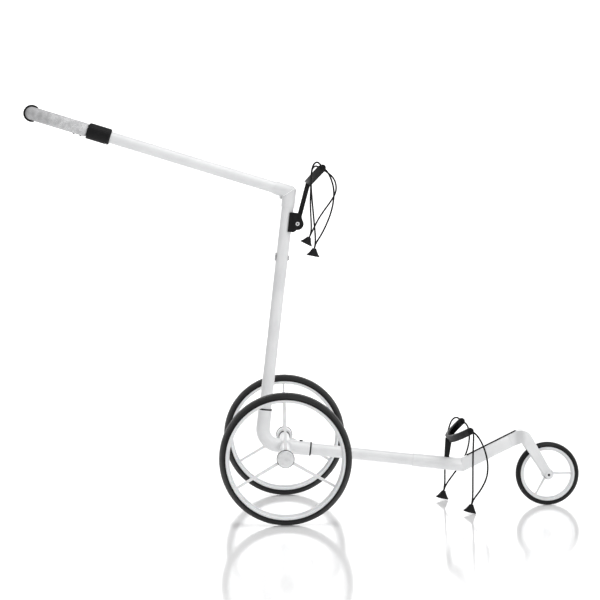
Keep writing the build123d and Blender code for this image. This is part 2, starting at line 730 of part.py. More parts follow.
with BuildPart() as crown:
    with BuildSketch(Plane.XZ) as crown_side:
        with BuildLine():
            Polyline(*[(point.X, point.Z) for point in crown_outline], close=True)
        make_face()
        fillet(crown_side.vertices().sort_by_distance((outer_corner.X, outer_corner.Z, 0))[0], crown_round)
        fillet(crown_side.vertices().sort_by_distance((inner_corner.X, inner_corner.Z, 0))[0], crown_armpit)
    extrude(amount=crown_width / 2, both=True)
    with BuildSketch(Plane.XY) as crown_plan:
        Polygon(
            (seam.X - crown_tail, -boom_width / 2), (seam.X + crown_neck_length, -boom_width / 2),
            (seam.X + crown_flare_length, -crown_width / 2), (wheelbase, -crown_width / 2),
            (wheelbase, crown_width / 2), (seam.X + crown_flare_length, crown_width / 2),
            (seam.X + crown_neck_length, boom_width / 2), (seam.X - crown_tail, boom_width / 2),
            align=None,
        )
        fillet(crown_plan.vertices().filter_by(lambda v: seam.X < v.X < wheelbase - 1), crown_flare_round)
    extrude(amount=crown_height_past, mode=Mode.INTERSECT)
save(crown, "crown")

front_bolt_diameter = 8.0
with BuildPart() as fork_legs:
    for side in side_names:
        inner_face = apex + Vector(0, side * leg_gap / 2, 0)
        with BuildSketch(Plane(origin=inner_face, x_dir=leg_way, z_dir=(0, side, 0))):
            Polygon(
                (crown_drop, -leg_width_top / 2), (leg_length, -leg_width_end / 2),
                (leg_length, leg_width_end / 2), (crown_drop, leg_width_top / 2), align=None,
            )
            with Locations((leg_length, 0)):
                Circle(leg_width_end / 2)
                Circle(front_bolt_diameter / 2 + snug_gap, mode=Mode.SUBTRACT)
        extrude(amount=leg_thickness)
        outer_face = fork_legs.faces().sort_by(Axis.Y)[-1 if side == left else 0]
        fillet(outer_face.outer_wire().edges().sort_by(SortBy.LENGTH)[1:], leg_edge_round)
save(fork_legs, "fork_legs")

# ---- Wheels -------------------------------------------------------------------------------------
# A wheel's own plane has its origin at the wheel's centre, local y up and local z away from the
# trolley's centre plane, so the left and right wheels are mirror images.


def wheel_plane(centre, side):
    return Plane(origin=centre, x_dir=(-side, 0, 0), z_dir=(0, side, 0))


def section_plane(centre, side):
    """Half section of a wheel: local x is outward along the axle, local y is the radius."""
    return Plane(origin=centre, x_dir=(0, side, 0), z_dir=(side, 0, 0))


def tyre(centre, side, radius, width, height, shoulder, groove_places):
    """Crowned solid tyre with fine grooves round its tread."""
    seat = radius - height
    with BuildPart() as body:
        with BuildSketch(section_plane(centre, side)):
            with BuildLine():
                Polyline(
                    (-width / 2, radius - shoulder), (-width / 2, seat),
                    (width / 2, seat), (width / 2, radius - shoulder),
                )
                ThreePointArc((width / 2, radius - shoulder), (0, radius), (-width / 2, radius - shoulder))
            make_face()
        revolve(axis=Axis(centre, (0, 1, 0)))
        for place in groove_places:
            crown_drop_here = shoulder * (2 * place / width) ** 2
            with BuildSketch(wheel_plane(centre, side).offset(place - groove_width / 2)):
                Circle(radius + groove_width)
                Circle(radius - crown_drop_here - groove_depth, mode=Mode.SUBTRACT)
            extrude(amount=groove_width, mode=Mode.SUBTRACT)
    return body


def spoked_rim(centre, side, seat, width, hub, spokes, bore, pin_bores=()):
    """Rim band with a centre rib, three tapering spokes and a hub bored for two bearings.

    hub is (radius, inner end, outer end); spokes is (first angle, width at hub, width at rim, depth);
    bore is (bearing radius, bearing width, radius between the bearings, outer bearing's outer end);
    pin_bores are (radius, length) of stepped holes along the latch's line.
    """
    hub_radius, hub_inner, hub_outer = hub
    first_angle, spoke_hub_width, spoke_rim_width, spoke_depth = spokes
    bearing_radius, bearing_width, waist_radius, outer_seat = bore
    frame = wheel_plane(centre, side)
    rib_inner = seat - rim_thickness - rim_rib
    with BuildPart() as rim:
        with BuildSketch(section_plane(centre, side)):
            with Locations((0, seat - rim_thickness / 2 - snug_gap)):
                Rectangle(width - 2 * rim_inset, rim_thickness)
            with Locations((0, seat - rim_thickness - rim_rib / 2)):
                Rectangle(spoke_depth, rim_rib + spoke_root)
        revolve(axis=Axis(centre, (0, 1, 0)))
        with BuildSketch(frame):
            with PolarLocations(0, 3, start_angle=first_angle):
                Polygon(
                    (hub_radius - spoke_sink, -spoke_hub_width / 2),
                    (rib_inner + spoke_root, -spoke_rim_width / 2),
                    (rib_inner + spoke_root, spoke_rim_width / 2),
                    (hub_radius - spoke_sink, spoke_hub_width / 2), align=None,
                )
        extrude(amount=spoke_depth / 2 - rim_inset, both=True)
        with BuildSketch(frame.offset(hub_inner)):
            Circle(hub_radius)
        extrude(amount=hub_outer - hub_inner)
        with BuildSketch(frame.offset(hub_inner)):
            Circle(waist_radius)
        extrude(amount=hub_outer - hub_inner, mode=Mode.SUBTRACT)
        with BuildSketch(frame.offset(hub_inner)):
            Circle(bearing_radius + snug_gap)
        extrude(amount=bearing_width, mode=Mode.SUBTRACT)
        with BuildSketch(frame.offset(outer_seat - bearing_width)):
            Circle(bearing_radius + snug_gap)
        extrude(amount=hub_outer - outer_seat + bearing_width, mode=Mode.SUBTRACT)
        for pin_radius, pin_length in pin_bores:
            with BuildSketch(latch_plane(centre, side)):
                Circle(pin_radius)
            extrude(amount=pin_length, mode=Mode.SUBTRACT)
    return rim


def bearing_pair(centre, side, outer_radius, bore_radius, width, inner_places):
    """Two sealed ball bearings, each with a shallow groove where its seal sits."""
    with BuildPart() as pair:
        for place in inner_places:
            with BuildSketch(wheel_plane(centre, side).offset(place)):
                Circle(outer_radius)
                Circle(bore_radius, mode=Mode.SUBTRACT)
            extrude(amount=width)
            with BuildSketch(wheel_plane(centre, side).offset(place + width)):
                Circle(outer_radius - race_width)
                Circle(bore_radius + race_width, mode=Mode.SUBTRACT)
            extrude(amount=-seal_depth, mode=Mode.SUBTRACT)
    return pair


rim_thickness = 4.0
rim_rib = 4.0
rim_inset = 1.0                # rim edge in from the tyre's, and spoke face in from the rib's
spoke_root = 1.0               # overlap between spoke, rib and band
spoke_sink = 2.0               # spoke's end inside the hub
race_width = 2.0
seal_depth = 0.6
groove_width = 1.4
groove_depth = 0.9
rear_spokes = (90.0, 7.0, 5.5, 8.0)
front_spokes = (0.0, 5.0, 4.0, 8.0)
rear_tread_grooves = [-16.0, 0.0, 16.0]
front_tread_grooves = [-5.0, 5.0]

rear_hub_radius = 19.0
rear_hub_inner = -46.0         # from the wheel's middle, negative towards the centre plane
rear_hub_outer = 3.0
rear_bearing_radius = 14.0
rear_bearing_width = 8.0
rear_outer_seat = 1.0
rear_waist_radius = 11.0
spindle_radius = 6.0
spindle_end = 0.5
spindle_collar_radius = 10.0
spindle_collar_start = -60.0
spindle_plug_start = -90.0
latch_place = -20.0
latch_angle = 244.0
latch_pin_radius = 2.0
latch_groove_radius = 4.8
latch_shoulder_radius = 3.8
latch_shoulder_at = 12.0
latch_shoulder_width = 1.5
latch_ceiling = 17.5
latch_knob_radius = 3.4
latch_knob_height = 2.0
latch_travel = 3.0
hub_ring_radius = 20.2
hub_ring_width = 2.6
hub_cap_height = 5.0
hub_cap_round = 3.0
hub_cap_play = 0.15            # radial, between the cap's plug and the hub
hub_ring_round = 0.8
spindle_recess = 2.0           # in the cap's inner face, over the spindle's end
latch_bore_past = 2.0
rear_tyre_shoulder = 11.0      # drop from the tread's crown to its shoulders
front_tyre_shoulder = 7.0
axle_tube_wall = 2.5


def latch_plane(centre, side):
    """Square to the latch's own line: origin on the axle, local z outward along the pin."""
    frame = wheel_plane(centre, side)
    outward = frame.x_dir * cos(radians(latch_angle)) + frame.y_dir * sin(radians(latch_angle))
    return Plane(origin=centre + frame.z_dir * latch_place, x_dir=frame.z_dir, z_dir=outward)


with BuildPart() as axle_tube:
    with BuildSketch(side_on(axle, Vector(1, 0, 0))):
        Circle(axle_tube_diameter / 2)
        Circle(axle_tube_diameter / 2 - axle_tube_wall, mode=Mode.SUBTRACT)
    extrude(amount=track / 2 + spindle_collar_start, both=True)
save(axle_tube, "axle_tube")

with BuildPart() as wheel_spindles:
    for side in side_names:
        frame = wheel_plane(axle + Vector(0, side * track / 2, 0), side)
        with BuildSketch(frame.offset(spindle_plug_start)):
            Circle(axle_tube_diameter / 2 - axle_tube_wall - snug_gap)
        extrude(amount=spindle_collar_start - spindle_plug_start)
        with BuildSketch(frame.offset(spindle_collar_start)):
            Circle(spindle_collar_radius)
        extrude(amount=rear_hub_inner - moving_gap - spindle_collar_start)
        with BuildSketch(frame.offset(rear_hub_inner - moving_gap)):
            Circle(spindle_radius - running_gap)
        extrude(amount=spindle_end - rear_hub_inner + moving_gap)
        with BuildSketch(frame.offset(latch_place - latch_pin_radius - moving_gap)):
            Circle(spindle_radius)
            Circle(latch_groove_radius, mode=Mode.SUBTRACT)
        extrude(amount=2 * (latch_pin_radius + moving_gap), mode=Mode.SUBTRACT)
save(wheel_spindles, "wheel_spindles")

for side, side_name in side_names.items():
    centre = axle + Vector(0, side * track / 2, 0)
    frame = wheel_plane(centre, side)
    seat = rear_wheel_radius - rear_tyre_height

    rear_tyre = tyre(
        centre, side, rear_wheel_radius, rear_tyre_width, rear_tyre_height, rear_tyre_shoulder,
        rear_tread_grooves,
    )
    save(rear_tyre, f"{side_name}_tyre")

    rear_rim = spoked_rim(
        centre, side, seat, rear_tyre_width, (rear_hub_radius, rear_hub_inner, rear_hub_outer),
        rear_spokes, (rear_bearing_radius, rear_bearing_width, rear_waist_radius, rear_outer_seat),
        [
            (latch_shoulder_radius + moving_gap, latch_ceiling),
            (latch_pin_radius + running_gap, rear_hub_radius + latch_bore_past),
        ],
    )
    save(rear_rim, f"{side_name}_rim")

    rear_bearings = bearing_pair(
        centre, side, rear_bearing_radius, spindle_radius, rear_bearing_width,
        [rear_hub_inner, rear_outer_seat - rear_bearing_width],
    )
    save(rear_bearings, f"{side_name}_bearings")

    with BuildPart() as hub_ring:
        with BuildSketch(frame.offset(rear_hub_outer)):
            Circle(hub_ring_radius)
            Circle(rear_bearing_radius, mode=Mode.SUBTRACT)
        extrude(amount=hub_ring_width)
        fillet(hub_ring.edges().filter_by(GeomType.CIRCLE).sort_by(SortBy.RADIUS)[-2:], hub_ring_round)
    save(hub_ring, f"{side_name}_hub_ring")

    with BuildPart() as hub_cap:
        with BuildSketch(frame.offset(rear_outer_seat)):
            Circle(rear_bearing_radius - hub_cap_play)
        extrude(amount=rear_hub_outer + hub_ring_width - rear_outer_seat)
        with BuildSketch(frame.offset(rear_hub_outer + hub_ring_width)):
            Circle(rear_hub_radius)
        extrude(amount=hub_cap_height)
        fillet(hub_cap.edges().group_by(Axis.Y)[-1 if side == left else 0], hub_cap_round)
        with BuildSketch(frame.offset(rear_outer_seat)):
            Circle(spindle_radius + spindle_recess)
        extrude(amount=spindle_recess, mode=Mode.SUBTRACT)
    save(hub_cap, f"{side_name}_hub_cap")

    pin_frame = latch_plane(centre, side)
    with BuildPart() as latch_pin:
        with BuildSketch(pin_frame.offset(latch_groove_radius + moving_gap)):
            Circle(latch_pin_radius)
        extrude(amount=rear_hub_radius + moving_gap - latch_groove_radius)
        with BuildSketch(pin_frame.offset(latch_shoulder_at)):
            Circle(latch_shoulder_radius)
        extrude(amount=latch_shoulder_width)
        with BuildSketch(pin_frame.offset(rear_hub_radius + moving_gap)):
            Circle(latch_knob_radius)
        extrude(amount=latch_knob_height)
    save(latch_pin, f"{side_name}_latch_pin")

front_hub_radius = 13.0
front_hub_half = 20.0
front_bearing_radius = 11.0
front_bearing_width = 7.0
front_waist_radius = 7.0
front_bore_radius = front_bolt_diameter / 2 + running_gap

front_tyre = tyre(
    front_axle, right, front_wheel_radius, front_tyre_width, front_tyre_height, front_tyre_shoulder,
    front_tread_grooves,
)
save(front_tyre, "front_tyre")

front_rim = spoked_rim(
    front_axle, right, front_wheel_radius - front_tyre_height, front_tyre_width,
    (front_hub_radius, -front_hub_half, front_hub_half), front_spokes,
    (front_bearing_radius, front_bearing_width, front_waist_radius, front_hub_half),
)
save(front_rim, "front_rim")

front_bearings = bearing_pair(
    front_axle, right, front_bearing_radius, front_bore_radius, front_bearing_width,
    [-front_hub_half, front_hub_half - front_bearing_width],
)
save(front_bearings, "front_bearings")

front_bolt_head = 14.0
front_bolt_head_height = 5.0
front_bolt_round = 1.2
front_spacer_wall = 2.0
front_socket_radius = 3.4
front_socket_depth = 3.0
front_spacer_radius = front_bolt_diameter / 2 + front_spacer_wall
leg_outside = leg_gap / 2 + leg_thickness
bolt_head_face = wheel_plane(front_axle, right).offset(leg_outside + front_bolt_head_height)

with BuildPart() as front_axle_bolt:
    with BuildSketch(wheel_plane(front_axle, right).offset(leg_outside + snug_gap)):
        Circle(front_bolt_head / 2)
    extrude(amount=front_bolt_head_height - snug_gap)
    fillet(front_axle_bolt.faces().sort_by(Axis.Y)[0].edges(), front_bolt_round)
    with BuildSketch(wheel_plane(front_axle, right).offset(leg_outside + snug_gap)):
        Circle(front_bolt_diameter / 2)
    extrude(amount=-(2 * leg_outside + front_bolt_head_height))
    with BuildSketch(bolt_head_face):
        RegularPolygon(front_socket_radius, 6)
    extrude(amount=-front_socket_depth, mode=Mode.SUBTRACT)
save(front_axle_bolt, "front_axle_bolt")

with BuildPart() as front_nut_and_spacers:
    with BuildSketch(wheel_plane(front_axle, left).offset(leg_outside + snug_gap)):
        RegularPolygon(front_bolt_head / 2, 6)
        Circle(front_bolt_diameter / 2 + snug_gap, mode=Mode.SUBTRACT)
    extrude(amount=front_bolt_head_height - snug_gap)
    for side in side_names:
        with BuildSketch(wheel_plane(front_axle, side).offset(front_hub_half + moving_gap)):
            Circle(front_spacer_radius)
            Circle(front_bolt_diameter / 2 + snug_gap, mode=Mode.SUBTRACT)
        extrude(amount=leg_gap / 2 - front_hub_half - moving_gap)
save(front_nut_and_spacers, "front_nut_and_spacers")

# ---- Release button in the front socket ---------------------------------------------------------

button_flange_radius = 5.5
button_flange_height = 2.0
button_ceiling_gap = 1.5       # between the button's flange and the beam's inner wall
button_round = 1.0
button_ceiling = beam_diameter / 2 - tube_wall - button_ceiling_gap
button_top = elbow_diameter / 2 + button_proud
button_plane = Plane(origin=button_foot, x_dir=(0, 1, 0), z_dir=button_way)

with BuildPart() as release_button:
    with BuildSketch(button_plane.offset(button_ceiling - button_flange_height)):
        Circle(button_flange_radius)
    extrude(amount=button_flange_height)
    with BuildSketch(button_plane.offset(button_ceiling)):
        Circle(button_diameter / 2)
    extrude(amount=button_top - button_ceiling)
    fillet(release_button.faces().sort_by(Axis.Z)[-1].edges(), button_round)
save(release_button, "release_button")

# ---- Elastic cords and their cone ends ----------------------------------------------------------
# Each bracket tip holds a cord by its middle. Its two strands leave the tip's two side faces, hang
# down and meet in a rubber cone. The points are counted from the rear axle, for the tips where
# tip_homes has them, and move with the tips.

cord_diameter = 4.0
cone_base_radius = 15.6
cone_top_radius = 4.6
cone_height = 18.5
cone_skirt = 1.5               # straight edge round the cone's base
cone_hollow = 4.0
cone_rim = 3.0
cone_hollow_draft = 20.0

# Left and right cone of each bracket: the middle of its top, and its axis's heading from base to top.
tip_homes = {"upper": Vector(96.8, 0, 805.3), "lower": Vector(429.9, 0, 190.7)}
tip_shifts = {
    "upper": upper_middle + heading(upper_reach_angle) * upper_cradle_depth - tip_homes["upper"],
    "lower": lower_middle + heading(lower_reach_angle) * lower_cradle_depth - tip_homes["lower"],
}
cones = {
    "upper": [((67.5, 128.0, 642.0), 63.0), ((75.0, -128.0, 620.0), 78.0)],
    "lower": [((383.5, 120.0, 23.0), 77.0), ((429.0, -146.0, 22.6), 75.0)],
}

cords = {
    "upper_cord_left_rear": [
        (96.8, 131, 805.3), (93, 138, 810.5), (85, 142, 814), (77, 142, 807), (74, 140, 789),
        (73, 138, 760), (71, 136, 725), (72, 133, 692), (73, 131, 666), (71.1, 130.3, 649.1),
        (67.5, 130.3, 642.0),
    ],
    "upper_cord_left_front": [
        (96.8, 121, 805.3), (103, 114, 804), (113, 111, 797), (127, 111, 785), (134, 112, 768),
        (133, 114, 748), (121, 117, 728), (104, 120, 706), (89, 123, 684), (79, 125, 664),
        (71.1, 125.7, 649.1), (67.5, 125.7, 642.0),
    ],
    "upper_cord_right_rear": [
        (96.8, -131, 805.3), (93, -138, 811), (84, -142, 819.5), (75, -143, 813), (70.5, -142.5, 797),
        (69, -141.5, 775), (70, -139, 745), (72.5, -136.5, 712), (75, -134, 680), (77, -132.5, 655),
        (77.4, -131, 640), (76.7, -130.3, 627.8), (75.0, -130.3, 620.0),
    ],
    "upper_cord_right_front": [
        (96.8, -121, 805.3), (101, -114, 803), (108, -111, 796), (115, -111, 783), (122, -113, 760),
        (122, -115, 732), (115, -118, 702), (104, -121, 675), (92, -123, 652), (82, -125, 637),
        (76.7, -125.7, 627.8), (75.0, -125.7, 620.0),
    ],
    "lower_cord_left_rear": [
        (429.9, 131, 190.7), (426, 138, 195), (418, 142, 199), (409, 142, 195), (402, 140, 183),
        (396, 137, 162), (392, 133, 130), (388, 128, 95), (387, 125, 62), (386.8, 122.8, 44),
        (385.3, 122.3, 30.8), (383.5, 122.3, 23.0),
    ],
    "lower_cord_left_front": [
        (429.9, 121, 190.7), (435, 114, 189), (442, 111, 182), (446, 111, 168), (447, 112, 146),
        (440, 113, 116), (426, 114, 88), (408, 116, 64), (393, 117, 44), (385.3, 117.7, 30.8),
        (383.5, 117.7, 23.0),
    ],
    "lower_cord_right_rear": [
        (429.9, -121, 190.7), (434, -114, 190), (438.5, -110.5, 183), (438, -111, 166),
        (436, -117, 137), (434.5, -125, 104), (433.5, -132, 72), (432.5, -139, 47),
        (431.1, -143.7, 30.3), (429.0, -143.7, 22.6),
    ],
    "lower_cord_right_front": [
        (429.9, -131, 190.7), (434, -138, 190), (442, -142, 184), (452, -145, 170), (463, -147, 143),
        (468, -148, 113), (465, -149, 84), (451, -149, 57), (438, -148.7, 41), (431.1, -148.3, 30.3),
        (429.0, -148.3, 22.6),
    ],
}


def corner_radii(spots):
    """Radius at each corner: 0.45 of the shorter run over the tangent of half the turn."""
    runs = [b - a for a, b in zip(spots, spots[1:])]
    return [0.45 * min(a.length, b.length) / tan(radians(a.get_angle(b)) / 2) for a, b in zip(runs, runs[1:])]


for name, points in cords.items():
    spots = [Vector(*point) + tip_shifts[name.split("_")[0]] for point in points]
    radii = corner_radii(spots)
    with BuildPart() as cord:
        with BuildLine() as route:
            FilletPolyline(*spots, radius=radii)
        with BuildSketch(Plane(origin=spots[0], z_dir=spots[1] - spots[0])):
            Circle(cord_diameter / 2)
        sweep()
    true_volume = pi * (cord_diameter / 2) ** 2 * route.wire().length
    ratio = round(cord.part.volume / true_volume, 4)
    print(name, "length", round(route.wire().length, 1), "volume over section times length", ratio)
    print("  radii", [round(radius, 1) for radius in radii])
    save(cord, name)


def cone_pair(level):
    """The two cone ends of one bracket: a straight skirt, a tapering body and a hollow base."""
    with BuildPart() as body:
        for top, angle in cones[level]:
            way = heading(angle)
            base = Vector(*top) + tip_shifts[level] - way * cone_height
            with BuildSketch(square_to(base, way)):
                Circle(cone_base_radius)
            extrude(amount=cone_skirt)
            with BuildSketch(square_to(base + way * cone_skirt, way)):
                Circle(cone_base_radius)
            extrude_height = cone_height - cone_skirt
            lean = atan2(cone_base_radius - cone_top_radius, extrude_height)
            extrude(amount=extrude_height, taper=degrees(lean))
            with BuildSketch(square_to(base, way)):
                Circle(cone_base_radius - cone_rim)
            extrude(amount=cone_hollow, taper=cone_hollow_draft, mode=Mode.SUBTRACT)
    return body


for level in ("upper", "lower"):
    save(cone_pair(level), f"{level}_cones")
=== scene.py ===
# %% [markdown]
# # A white golf push trolley
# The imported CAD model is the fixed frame. This file gives it its looks: finishes for every metal,
# plastic and rubber piece, softened edges on the moulded pieces, a pebbled leather grip, and the
# elastic cords with their cone ends. Lengths are in metres and the floor is z = 0.

# %% Load the frame
import json
import math

import bmesh
import bpy
from mathutils import Matrix, Vector


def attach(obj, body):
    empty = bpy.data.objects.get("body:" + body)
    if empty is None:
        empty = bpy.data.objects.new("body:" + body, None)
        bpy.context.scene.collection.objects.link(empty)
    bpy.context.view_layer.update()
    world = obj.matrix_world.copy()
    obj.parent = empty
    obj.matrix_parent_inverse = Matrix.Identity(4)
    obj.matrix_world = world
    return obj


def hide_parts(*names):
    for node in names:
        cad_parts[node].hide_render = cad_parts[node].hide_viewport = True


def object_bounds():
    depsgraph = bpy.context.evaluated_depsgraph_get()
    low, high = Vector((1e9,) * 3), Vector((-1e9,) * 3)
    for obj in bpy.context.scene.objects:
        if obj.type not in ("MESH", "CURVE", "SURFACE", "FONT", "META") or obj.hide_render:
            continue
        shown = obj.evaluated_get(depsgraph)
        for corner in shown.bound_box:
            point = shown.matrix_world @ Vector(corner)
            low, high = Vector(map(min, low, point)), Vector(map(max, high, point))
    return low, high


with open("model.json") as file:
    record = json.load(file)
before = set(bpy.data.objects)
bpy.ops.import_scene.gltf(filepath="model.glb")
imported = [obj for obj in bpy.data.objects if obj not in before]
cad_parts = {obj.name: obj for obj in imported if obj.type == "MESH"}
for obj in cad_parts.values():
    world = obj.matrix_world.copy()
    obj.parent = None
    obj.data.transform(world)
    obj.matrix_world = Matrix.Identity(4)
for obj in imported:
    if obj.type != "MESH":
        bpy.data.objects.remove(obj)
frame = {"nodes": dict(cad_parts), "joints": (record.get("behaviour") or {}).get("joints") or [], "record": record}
cad_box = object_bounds()
joints = {joint["name"]: joint for joint in frame["joints"]}
nodes = frame["nodes"]
slots = {row["node"]: row["material_slot"] for row in frame["record"]["subparts"]}
body_of_node = {n: b for b, members in frame["record"]["behaviour"]["bodies"].items() for n in members}

# %% [markdown]
# ## The trolley's own lines
# A joint's place and axis say where the real axles, hinges and tubes are, so the pieces and the
# finishes below are set out from these and not from typed coordinates.

# %% Lines from the joints
left_hub = Vector(joints["left_wheel_spin"]["pos_m"])
right_hub = Vector(joints["right_wheel_spin"]["pos_m"])
front_hub = Vector(joints["front_wheel_spin"]["pos_m"])
axle = (left_hub + right_hub) / 2
handle_way = Vector(joints["grip_slide"]["axis"])
grip_hinge = Vector(joints["handle_fold"]["pos_m"])
bracket_screw = Vector(joints["bracket_swing"]["pos_m"])
print("axle at", [round(c, 4) for c in axle], "handle runs", [round(c, 4) for c in handle_way])

# %% [markdown]
# ## The camera
# The trolley is seen square from its right side by a long lens about waist high. The lens axis
# looks a little down and to the right. A small roll lifts the right of the picture.

# %% Camera
LENS_MM = 142.95
SENSOR_MM = 36.0
camera_place = axle + Vector((-0.0218, -5.6235, 0.5817))
look_way = Vector((0.01119, 0.99906, -0.04192)).normalized()
roll_up = Vector((0.01618, 0.04173, 0.999))
VIEW_REACH = 60

camera_data = bpy.data.cameras.new("camera")
camera_data.lens = LENS_MM
camera_data.sensor_width = SENSOR_MM
camera_data.clip_end = VIEW_REACH
camera = bpy.data.objects.new("camera", camera_data)
bpy.context.scene.collection.objects.link(camera)
across = look_way.cross(roll_up).normalized()
upward = across.cross(look_way)
camera.matrix_world = Matrix((
    (*(across[0], upward[0], -look_way[0]), camera_place[0]),
    (*(across[1], upward[1], -look_way[1]), camera_place[1]),
    (*(across[2], upward[2], -look_way[2]), camera_place[2]),
    (0, 0, 0, 1),
))
bpy.context.scene.camera = camera
print("camera", round((camera_place - axle).length, 2), "m from the axle")

# %% [markdown]
# ## The elastic cords
# Each cradle tip grips an elastic cord by its middle, and the two strands hang down and meet in a
# rubber cone. A cord could be a swept mesh, but a NURBS curve with a round bevel stays smooth, has
# one true length, and needs only a few given points. They are counted from the rear axle's line.
# The bevel is one metre deep and each point's radius is the cord's own, because a curve's bounding
# box is made wider by its points' radii.

# %% Cords
CORD_DIAMETER = 0.004
CORD_ROUTES = {
    "upper_cord_left_rear": [
        (0.0968, 0.131, 0.8053), (0.093, 0.138, 0.8105), (0.085, 0.142, 0.814), (0.077, 0.142, 0.807),
        (0.074, 0.14, 0.789), (0.073, 0.138, 0.76), (0.071, 0.136, 0.725), (0.072, 0.133, 0.692),
        (0.073, 0.131, 0.666), (0.0711, 0.1303, 0.6491), (0.0675, 0.1303, 0.642),
    ],
    "upper_cord_left_front": [
        (0.0968, 0.121, 0.8053), (0.103, 0.114, 0.804), (0.113, 0.111, 0.797), (0.127, 0.111, 0.785),
        (0.134, 0.112, 0.768), (0.133, 0.114, 0.748), (0.121, 0.117, 0.728), (0.104, 0.12, 0.706),
        (0.089, 0.123, 0.684), (0.079, 0.125, 0.664), (0.0711, 0.1257, 0.6491), (0.0675, 0.1257, 0.642),
    ],
    "upper_cord_right_rear": [
        (0.0968, -0.131, 0.8053), (0.093, -0.138, 0.811), (0.084, -0.142, 0.8195), (0.075, -0.143, 0.813),
        (0.0705, -0.1425, 0.797), (0.069, -0.1415, 0.775), (0.07, -0.139, 0.745),
        (0.0725, -0.1365, 0.712), (0.075, -0.134, 0.68), (0.077, -0.1325, 0.655), (0.0774, -0.131, 0.64),
        (0.0767, -0.1303, 0.6278), (0.075, -0.1303, 0.62),
    ],
    "upper_cord_right_front": [
        (0.0968, -0.121, 0.8053), (0.101, -0.114, 0.803), (0.108, -0.111, 0.796), (0.115, -0.111, 0.783),
        (0.122, -0.113, 0.76), (0.122, -0.115, 0.732), (0.115, -0.118, 0.702), (0.104, -0.121, 0.675),
        (0.092, -0.123, 0.652), (0.082, -0.125, 0.637), (0.0767, -0.1257, 0.6278), (0.075, -0.1257, 0.62),
    ],
    "lower_cord_left_rear": [
        (0.4299, 0.131, 0.1907), (0.426, 0.138, 0.195), (0.418, 0.142, 0.199), (0.409, 0.142, 0.195),
        (0.402, 0.14, 0.183), (0.396, 0.137, 0.162), (0.392, 0.133, 0.13), (0.388, 0.128, 0.095),
        (0.387, 0.125, 0.062), (0.3868, 0.1228, 0.044), (0.3853, 0.1223, 0.0308), (0.3835, 0.1223, 0.023),
    ],
    "lower_cord_left_front": [
        (0.4299, 0.121, 0.1907), (0.435, 0.114, 0.189), (0.442, 0.111, 0.182), (0.446, 0.111, 0.168),
        (0.447, 0.112, 0.146), (0.44, 0.113, 0.116), (0.426, 0.114, 0.088), (0.408, 0.116, 0.064),
        (0.393, 0.117, 0.044), (0.3853, 0.1177, 0.0308), (0.3835, 0.1177, 0.023),
    ],
    "lower_cord_right_rear": [
        (0.4299, -0.121, 0.1907), (0.434, -0.114, 0.19), (0.4385, -0.1105, 0.183), (0.438, -0.111, 0.166),
        (0.436, -0.117, 0.137), (0.4345, -0.125, 0.104), (0.4335, -0.132, 0.072), (0.4325, -0.139, 0.047),
        (0.4311, -0.1437, 0.0303), (0.429, -0.1437, 0.0226),
    ],
    "lower_cord_right_front": [
        (0.4299, -0.131, 0.1907), (0.434, -0.138, 0.19), (0.442, -0.142, 0.184), (0.452, -0.145, 0.17),
        (0.463, -0.147, 0.143), (0.468, -0.148, 0.113), (0.465, -0.149, 0.084), (0.451, -0.149, 0.057),
        (0.438, -0.1487, 0.041), (0.4311, -0.1483, 0.0303), (0.429, -0.1483, 0.0226),
    ],
}
axle_shift = Vector((axle.x, 0, 0))


def laid_cord(name, route):
    """A round curve along the route, in place of the CAD tube of the same name."""
    curve = bpy.data.curves.new(f"{name}_line", "CURVE")
    curve.dimensions = "3D"
    curve.bevel_depth = 1.0
    curve.bevel_resolution = 5
    curve.resolution_u = 12
    curve.use_fill_caps = True
    spline = curve.splines.new("NURBS")
    spline.points.add(len(route) - 1)
    for point, place in zip(spline.points, route):
        point.co = (*(Vector(place) + axle_shift), 1)
        point.radius = CORD_DIAMETER / 2
    spline.order_u = 3
    spline.use_endpoint_u = True
    cord = bpy.data.objects.new(f"{name}_elastic", curve)
    bpy.context.scene.collection.objects.link(cord)
    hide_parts(name)
    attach(cord, body_of_node[name])
    return cord


cords = {name: laid_cord(name, route) for name, route in CORD_ROUTES.items()}
print("cords:", len(cords))

# %% [markdown]
# ## Floor and light
# A seamless white sweep runs under the trolley and up behind it. The floor is polished, so the
# wheels show again in it. A white sky and three large soft lamps, the strongest from above and from
# the right, leave the tubes a little darker on their left and lower edges.

# %% Sweep
SWEEP_FRONT = -9.0
SWEEP_TURN = 7.0
SWEEP_RADIUS = 2.5
SWEEP_HEIGHT = 8.0
SWEEP_HALF_WIDTH = 12.0
TURN_STEPS = 24


def sweep_outline():
    """Side view of the sweep: along the floor, round the turn, and up."""
    turn = [math.pi / 2 * step / TURN_STEPS for step in range(TURN_STEPS + 1)]
    curve = [(SWEEP_TURN + SWEEP_RADIUS * math.sin(a), SWEEP_RADIUS * (1 - math.cos(a))) for a in turn]
    return [(SWEEP_FRONT, 0.0), *curve, (SWEEP_TURN + SWEEP_RADIUS, SWEEP_HEIGHT)]


outline = sweep_outline()
sweep_points = [(side * SWEEP_HALF_WIDTH, y, z) for side in (-1, 1) for y, z in outline]
count = len(outline)
sweep_faces = [(i, i + 1, count + i + 1, count + i) for i in range(count - 1)]
sweep_mesh = bpy.data.meshes.new("studio_sweep")
sweep_mesh.from_pydata(sweep_points, [], sweep_faces)
for face in sweep_mesh.polygons:
    face.use_smooth = True
sweep = bpy.data.objects.new("studio_sweep", sweep_mesh)
bpy.context.scene.collection.objects.link(sweep)

# %% Lamps
WORLD_STRENGTH = 0.5
world = bpy.data.worlds.new("white_sky")
bpy.context.scene.world = world
world.use_nodes = True
world.node_tree.nodes["Background"].inputs["Color"].default_value = (1.0, 1.0, 1.0, 1.0)
world.node_tree.nodes["Background"].inputs["Strength"].default_value = WORLD_STRENGTH


